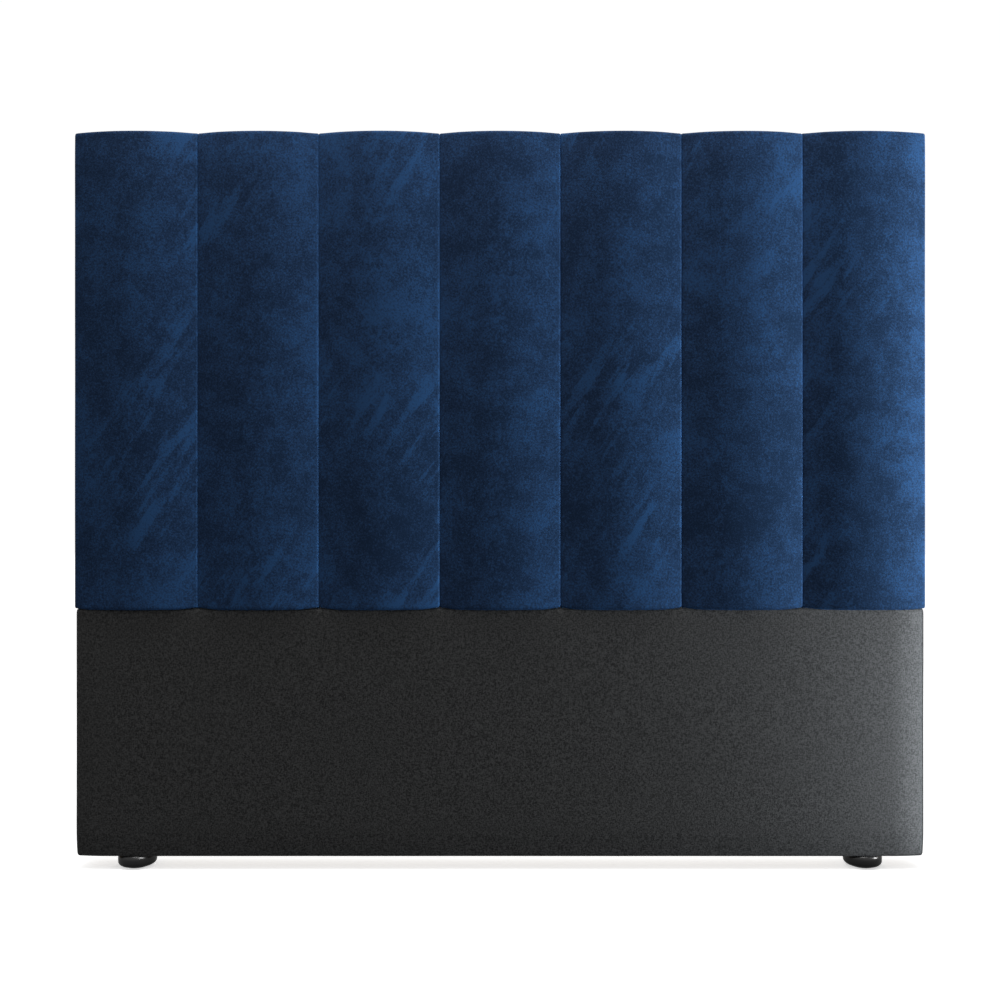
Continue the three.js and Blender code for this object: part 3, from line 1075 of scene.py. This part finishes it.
@dataclass
class FoamCores:
    """The foam under the covers: crowned channel pads, the plain section's pad and edge strips.

    The rooms are what each pad leaves free inside its cover at the front, sides, ends and joint.
    """

    channels: VelvetChannels
    lower: LowerSection
    front_room: float = 4.5 * MM
    side_room: float = 2.4 * MM
    end_room: float = 4 * MM
    joint_room: float = 9 * MM
    strip_room: float = 0.4 * MM
    round_over: float = 7 * MM
    strip_round: float = 2 * MM
    cell: float = 20 * MM

    def pad(
        self,
        name: str,
        low: Vector,
        high: Vector,
        round_over: float,
        bulge: Callable[[Vector], float],
    ) -> bpy.types.Object:
        """Makes one pad with rounded edges and a shaped front.

        Args:
            name: the object's name.
            low: its lowest corner.
            high: its highest corner.
            round_over: radius of its edges.
            bulge: how far forward its front moves at a point.

        Returns:
            The closed pad.
        """
        bm = box_mesh(low, high)
        bevel_where(bm, lambda e: True, round_over, 3)
        slice_mesh(bm, 0, steps(low.x + round_over, high.x - round_over, self.cell))
        slice_mesh(bm, 2, steps(low.z + round_over, high.z - round_over, self.cell))
        depth = high.y - low.y
        for vertex in bm.verts:
            vertex.co.y -= bulge(vertex.co) * (high.y - vertex.co.y) / depth
        bmesh.ops.recalc_face_normals(bm, faces=bm.faces)
        return finish_mesh(bm, name)

    def crowned(self, centre: float) -> Callable[[Vector], float]:
        """Gives the shape of the front of a channel's pad.

        Args:
            centre: the X of the channel's middle.

        Returns:
            A function that says how far in front of the seams a point of the pad lies.
        """
        sagitta = self.channels.seam_y - self.channels.crown_y
        return lambda point: sagitta - self.channels.crown(point.x - centre)

    def place(self, piece: bpy.types.Object, finish: bpy.types.Material, node: str) -> None:
        declare(piece, finish, "foam", node)

    def build(self, finish: bpy.types.Material) -> None:
        """Makes and dresses all the foam.

        Args:
            finish: the foam.
        """
        channels = self.channels
        for number in range(1, channels.count + 1):
            node = f"channel_foam_{number}"
            low, high = corners(node)
            centre = channels.pitch * (number - 1 - channels.count // 2)
            low.y = channels.seam_y + self.front_room
            low.z = channels.low.z + self.joint_room
            high.z = channels.high.z - self.end_room
            low.x, high.x = centre - channels.half, centre + channels.half
            low.x, high.x = low.x + self.side_room, high.x - self.side_room
            crown = self.crowned(centre)
            pad = self.pad(f"channel_core_{number}", low, high, self.round_over, crown)
            self.place(pad, finish, node)
        low, high = corners("lower_foam_pad")
        low += Vector((self.side_room, self.front_room, self.end_room))
        high -= Vector((self.side_room, 0, self.joint_room))
        pad = self.pad("lower_core", low, high, self.round_over, lambda point: -self.lower.fall_at(point))
        self.place(pad, finish, "lower_foam_pad")
        for side in ("left", "right", "top"):
            node = f"edge_foam_{side}"
            low, high = corners(node)
            room = Vector((1, 1, 1)) * self.strip_room
            strip = self.pad(f"edge_strip_{side}", low + room, high - room, self.strip_round, lambda _: 0)
            self.place(strip, finish, node)


@dataclass
class BackLining:
    """The dust cloth on the back, with the staples that hold it."""

    thickness: float = 0.4 * MM
    inset: float = 0.2 * MM
    margin: float = 8 * MM
    rim_width: float = 30 * MM
    sag: float = 0.5 * MM
    staple_pitch: float = 62 * MM
    staple_width: float = 10 * MM
    wire: float = 0.7 * MM
    wire_round: float = 0.3 * MM
    cell: float = 15.5 * MM
    scallop: float = 1.2 * MM

    def __post_init__(self) -> None:
        """Reads the cloth's size from the CAD sheet."""
        self.low, self.high = corners("back_dust_cloth")

    def sheet(self, finish: bpy.types.Material) -> None:
        """Makes the stretched cloth, its edge drawn in a little between the staples.

        Args:
            finish: the lining.
        """
        low, high = self.low, self.high
        bm = bmesh.new()
        bmesh.ops.create_grid(bm, x_segments=1, y_segments=1, size=0.5)
        bmesh.ops.rotate(bm, verts=bm.verts, matrix=Matrix.Rotation(-math.pi / 2, 3, "X"))
        width, height = high.x - low.x, high.z - low.z
        bmesh.ops.scale(bm, vec=(width, 1, height), verts=bm.verts)
        middle = (low + high) / 2
        bmesh.ops.translate(bm, vec=(middle.x, high.y - self.inset, middle.z), verts=bm.verts)
        slice_mesh(bm, 0, steps(low.x, high.x, self.cell))
        slice_mesh(bm, 2, steps(low.z, high.z, self.cell))
        for vertex in bm.verts:
            point = vertex.co
            to_side = min(point.x - low.x, high.x - point.x)
            to_end = min(point.z - low.z, high.z - point.z)
            rim = 1 - smooth(min(to_side, to_end), 0, self.rim_width)
            along = point.z if to_side < to_end else point.x
            between = 0.5 - 0.5 * math.cos(2 * math.pi * along / self.staple_pitch)
            towards = Vector((-math.copysign(1, point.x), 0, 0))
            if to_end < to_side:
                towards = Vector((0, 0, math.copysign(1, middle.z - point.z)))
            slack = noise.noise(Vector((point.x * 4, 0.3, point.z * 4)))
            vertex.co = point + towards * self.scallop * between * rim
            vertex.co.y -= self.sag * (1 - rim) * (1 + slack)
        bmesh.ops.recalc_face_normals(bm, faces=bm.faces)
        if sum(f.normal.y for f in bm.faces) < 0:
            bmesh.ops.reverse_faces(bm, faces=bm.faces)
        piece = finish_mesh(bm, "back_lining")
        wall = piece.modifiers.new("cloth_thickness", "SOLIDIFY")
        wall.thickness = self.thickness
        wall.offset = -1
        declare(piece, finish, "dust_cloth", "back_dust_cloth")

    def staple(self, bm: bmesh.types.BMesh, place: Vector, upright: bool) -> None:
        """Adds one wire staple, driven in through the edge of the cloth.

        Args:
            bm: the mesh of all the staples.
            place: the middle of its crown.
            upright: true where the staple's crown runs up the edge.
        """
        crown = Vector((self.staple_width, self.wire, self.wire))
        made = bmesh.ops.create_cube(bm, size=1.0)["verts"]
        bmesh.ops.scale(bm, vec=crown, verts=made)
        ends = [f for f in {g for v in made for g in v.link_faces} if abs(f.normal.x) > 0.9]
        edges = [e for e in {g for f in ends for g in f.edges} if all(v.co.y > 0 for v in e.verts)]
        rounded = bmesh.ops.bevel(
            bm, geom=edges, offset=self.wire_round, segments=2, affect="EDGES", profile=0.5, material=-1
        )
        verts = list({v for v in made if v.is_valid} | set(rounded["verts"]))
        turn = Matrix.Rotation(math.pi / 2 if upright else 0, 4, "Y")
        bmesh.ops.transform(bm, matrix=Matrix.Translation(place) @ turn, verts=verts)

    def staples(self, finish: bpy.types.Material) -> None:
        """Makes the row of staples round the cloth.

        Args:
            finish: the staples' steel.
        """
        low, high = self.low, self.high
        bm = bmesh.new()
        y = high.y - 0.1 * MM
        for x in steps(low.x, high.x, self.staple_pitch):
            for z in (low.z + self.margin, high.z - self.margin):
                self.staple(bm, Vector((x, y, z)), False)
        for z in steps(low.z, high.z, self.staple_pitch):
            for x in (low.x + self.margin, high.x - self.margin):
                self.staple(bm, Vector((x, y, z)), True)
        declare(finish_mesh(bm, "back_staples"), finish, "zinc_steel")


# ------------------------------------------------------------------ hard parts


@dataclass
class BunFeet:
    """Two squat moulded feet, each with a felt glide under it."""

    hands: tuple[str, str] = ("left", "right")
    segments: int = 64
    rings: int = 18
    belly: float = 0.45  # height of the widest ring, as a share of the foot's
    neck: float = 0.62  # radius of the top, as a share of the widest
    base: float = 0.72  # and of the base
    base_round: float = 1.2 * MM
    fullness: float = 0.12
    felt_round: float = 0.4 * MM

    def profile(self, low: float, high: float, radius: float, base: float) -> list[Vector]:
        """The bun's outline from the axis at the base to the axis at the top.

        Args:
            low: height of the base.
            high: height of the top.
            radius: the bun's largest radius.
            base: the radius of its flat base.

        Returns:
            Points in the XZ plane.
        """
        widest = low + (high - low) * self.belly
        top = math.acos(self.neck)
        half_top = (high - widest) / math.sin(top)
        half_base = (widest - low) / math.sin(math.acos(base / radius))
        outline = [Vector((0, 0, low)), Vector((base - self.base_round, 0, low))]
        start = -math.acos(base / radius)
        for i in range(1, self.rings + 1):
            angle = start + (top - start) * i / self.rings
            half = half_top if angle > 0 else half_base
            full = 1 + self.fullness * math.sin(2 * angle) ** 2
            reach = radius * min(math.cos(angle) * full, 1.0)
            outline.append(Vector((reach, 0, widest + half * math.sin(angle))))
        return [*outline, Vector((0, 0, high))]

    def turn(self, name: str, outline: list[Vector], centre: Vector) -> bpy.types.Object:
        """Spins an outline about an upright axis.

        Args:
            name: the object's name.
            outline: points from axis to axis.
            centre: a point on the axis.

        Returns:
            The closed piece.
        """
        bm = bmesh.new()
        verts = [bm.verts.new(point) for point in outline]
        edges = [bm.edges.new(pair) for pair in zip(verts, verts[1:], strict=False)]
        bmesh.ops.spin(
            bm,
            geom=verts + edges,
            axis=(0, 0, 1),
            cent=(0, 0, 0),
            angle=2 * math.pi,
            steps=self.segments,
            use_merge=True,
        )
        bmesh.ops.remove_doubles(bm, verts=bm.verts, dist=WELD)
        bmesh.ops.recalc_face_normals(bm, faces=bm.faces)
        bmesh.ops.translate(bm, vec=(centre.x, centre.y, 0), verts=bm.verts)
        return finish_mesh(bm, name)

    def build(self, plastic: bpy.types.Material, felt: bpy.types.Material) -> None:
        """Makes both feet and their glides.

        Args:
            plastic: the feet's finish.
            felt: the glides' finish.
        """
        for hand in self.hands:
            low, high = corners(f"bun_foot_{hand}")
            centre = (low + high) / 2
            radius = (high.x - low.x) / 2
            outline = self.profile(low.z, high.z, radius, radius * self.base)
            foot = self.turn(f"moulded_foot_{hand}", outline, centre)
            declare(foot, plastic, "foot_plastic", f"bun_foot_{hand}")
            low, high = corners(f"foot_glide_{hand}")
            reach, trim = (high.x - low.x) / 2, self.felt_round
            pad = [(0, low.z), (reach - trim, low.z), (reach, low.z + trim)]
            pad += [(reach, high.z - trim), (reach - trim, high.z), (0, high.z)]
            glide = self.turn(f"felt_glide_{hand}", [Vector((r, 0, z)) for r, z in pad], centre)
            declare(glide, felt, "felt", f"foot_glide_{hand}")


@dataclass
class HiddenFrame:
    """The timber, boards and fasteners inside, which keep their CAD shapes."""

    def dress(self) -> None:
        """Gives every carried-over CAD node its material."""
        upright = Timber("planed_softwood_upright", Grain.UPRIGHT).material()
        across = Timber("planed_softwood_across", Grain.ACROSS).material()
        ply = Timber(
            "sanded_plywood", Grain.UPRIGHT, early="#c8a06a", late="#a87b47", ring_mm=16
        ).material()
        # Bright zinc plate on steel: pale, slightly cloudy metal.
        zinc = Speckled("zinc_plated_steel", "#9da2a8", "#c9cdd2", 3.0, 0.38, 1.0).material()
        finishes = {"pine": upright, "plywood": ply, "zinc_steel": zinc}
        slots = {s["node"]: s["material_slot"] for s in frame["record"]["subparts"]}
        for name, node in frame["nodes"].items():
            finish = finishes.get(slots[name])
            if finish is None:
                continue
            if name.endswith("_rail"):
                finish = across
            node.data.materials.clear()
            node.data.materials.append(finish)
            LOG.info("%s: %s", name, finish.name)


# ------------------------------------------------------------------ studio

VELVETS = tuple(f"velvet_channel_{number}" for number in range(1, CHANNELS + 1))
WOVENS = ("lower_section_cover",)
LEFT_FOOT = ("moulded_foot_left",)
RIGHT_FOOT = ("moulded_foot_right",)
WHITE = "#ffffff"
COOL = "#f0f8ff"
SKY = "#dcf7ff"


@dataclass(frozen=True)
class SoftLight:
    """A rectangular studio light, in metres and watts."""

    name: str
    place: tuple[float, float, float]
    aim: tuple[float, float, float]
    size: tuple[float, float]
    power: float
    only: tuple[str, ...] = ()  # the pieces that it lights, or all of them
    tint: str = WHITE

    def build(self) -> None:
        """Adds the light to the scene.

        A light for chosen pieces casts no shadow: it skims the channels, and each would
        otherwise darken the next.
        """
        data = bpy.data.lights.new(self.name, "AREA")
        data.shape = "RECTANGLE"
        data.size, data.size_y = self.size
        data.energy = self.power
        data.color = linear(self.tint)[:3]
        data.use_shadow = not self.only
        lamp = bpy.data.objects.new(self.name, data)
        lamp.location = self.place
        aim = Vector(self.aim) - Vector(self.place)
        lamp.rotation_euler = aim.to_track_quat("-Z", "Y").to_euler()
        lamp.visible_camera = False
        bpy.context.collection.objects.link(lamp)
        if self.only:
            lit = bpy.data.collections.new(f"lit_by_{self.name}")
            for name in self.only:
                lit.objects.link(bpy.data.objects[name])
            lamp.light_linking.receiver_collection = lit


@dataclass
class Studio:
    """A white sweep, strip lights close to the right-hand side, soft boxes and the camera."""

    camera_distance: float = 2.07
    camera_height: float = 0.703
    lens: float = 39.3
    sensor: float = 36
    sight: float = 60  # how far the camera sees
    floor_size: float = 12
    floor_grey: float = 0.9
    floor_glow: float = 0.54
    backdrop: float = 1.02
    from_above: float = 0.7
    from_below: float = 0.17
    lights: tuple[SoftLight, ...] = (
        SoftLight("side", (1.5, -0.16, 0.75), (0, -0.16, 0.75), (0.06, 2.0), 63, VELVETS, SKY),
        SoftLight("low", (1.1, -0.33, 0.5), (0.3, -0.05, 0.5), (0.06, 1.4), 17.5, WOVENS, COOL),
        SoftLight("rim", (0, -0.15, 1.55), (0, -0.05, 1.3), (1.6, 0.04), 1, VELVETS),
        SoftLight("right_glint", (1.35, -0.15, 0.45), (0.7, 0, 0), (0.12, 0.12), 7, RIGHT_FOOT),
        SoftLight("left_glint", (-0.25, -0.45, 0.7), (-0.7, 0, 0), (0.12, 0.12), 7, LEFT_FOOT),
        SoftLight("top_softbox", (0, -0.4, 2.7), (0, 0, 0.7), (2.6, 0.5), 30),
        SoftLight("back_softbox", (0.5, 2.6, 1.3), (0, 0, 0.7), (1.6, 1.6), 30),
    )

    def camera(self, seam_y: float) -> None:
        """Places the camera level and square to the face.

        Args:
            seam_y: the plane that the distance is measured from.
        """
        data = bpy.data.cameras.new("camera")
        data.lens = self.lens
        data.sensor_width = self.sensor
        data.clip_end = self.sight
        camera = bpy.data.objects.new("camera", data)
        camera.location = (0, seam_y - self.camera_distance, self.camera_height)
        camera.rotation_euler = (math.pi / 2, 0, 0)
        bpy.context.collection.objects.link(camera)
        bpy.context.scene.camera = camera

    def floor(self) -> None:
        """Lays the pale floor, which glows a little so that it stays white in thin shadow."""
        bm = bmesh.new()
        bmesh.ops.create_grid(bm, x_segments=1, y_segments=1, size=self.floor_size)
        floor = finish_mesh(bm, "floor")
        inputs = {
            "Base Color": grey(self.floor_grey),
            "Roughness": 0.9,
            "Specular IOR Level": 0.1,
            "Emission Color": grey(1.0),
            "Emission Strength": self.floor_glow,
        }
        floor.data.materials.append(new_material("white_floor", lambda tree: inputs))
        floor.visible_diffuse = False
        floor.visible_glossy = False

    def world(self) -> None:
        """Shows a white backdrop and lights the object more from above than from below."""
        world = bpy.data.worlds.new("white_studio")
        world.use_nodes = True
        tree = world.node_tree
        ray = add_node(tree, "ShaderNodeTexCoord").outputs["Generated"]
        up = add_node(tree, "ShaderNodeSeparateXYZ", {0: ray}).outputs[2]
        height = remap(tree, up, (-0.5, 0.5))
        glow = ramp(tree, height, (0.0, grey(self.from_below)), (1.0, grey(self.from_above)))
        dim = add_node(tree, "ShaderNodeBackground", {"Color": glow})
        white = {"Color": grey(1.0), "Strength": self.backdrop}
        bright = add_node(tree, "ShaderNodeBackground", white)
        seen = add_node(tree, "ShaderNodeLightPath").outputs["Is Camera Ray"]
        both = add_node(
            tree, "ShaderNodeMixShader", {0: seen, 1: dim.outputs[0], 2: bright.outputs[0]}
        )
        tree.links.new(both.outputs[0], tree.nodes["World Output"].inputs[0])
        bpy.context.scene.world = world
        bpy.context.scene.view_settings.view_transform = "Standard"

    def build(self, seam_y: float) -> None:
        """Sets up the camera, the floor and the lights.

        Args:
            seam_y: the plane of the seams, which the camera is placed from.
        """
        self.camera(seam_y)
        self.floor()
        self.world()
        for light in self.lights:
            light.build()


def main() -> None:
    """Builds the headboard and its studio."""
    logging.basicConfig(level=logging.INFO, format="%(name)s: %(message)s")
    channels = VelvetChannels()
    velvet, woven = BrushedVelvet().material(), WovenUpholstery().material()
    channels.build(velvet)
    lower = LowerSection()
    lower.build(woven)
    # Open-cell polyurethane foam: cream, with a fine visible cell.
    foam = Speckled("open_cell_foam", "#d6c896", "#efe6c2", 2.0, 0.9).material()
    FoamCores(channels, lower).build(foam)
    lining = BackLining()
    lining.sheet(SpunbondLining().material())
    # Galvanised wire: duller and greyer than the screws' bright zinc.
    lining.staples(Speckled("galvanised_wire", "#8d9196", "#b9bdc1", 1.0, 0.35, 1.0).material())
    # Pressed wool felt: black, quite matt, with a faint fibre.
    felt = Speckled("pressed_black_felt", "#151516", "#262628", 1.5, 0.95).material()
    BunFeet().build(GlossPlastic().material(), felt)
    HiddenFrame().dress()
    Studio().build(channels.seam_y)


if __name__ == "__main__":
    main()
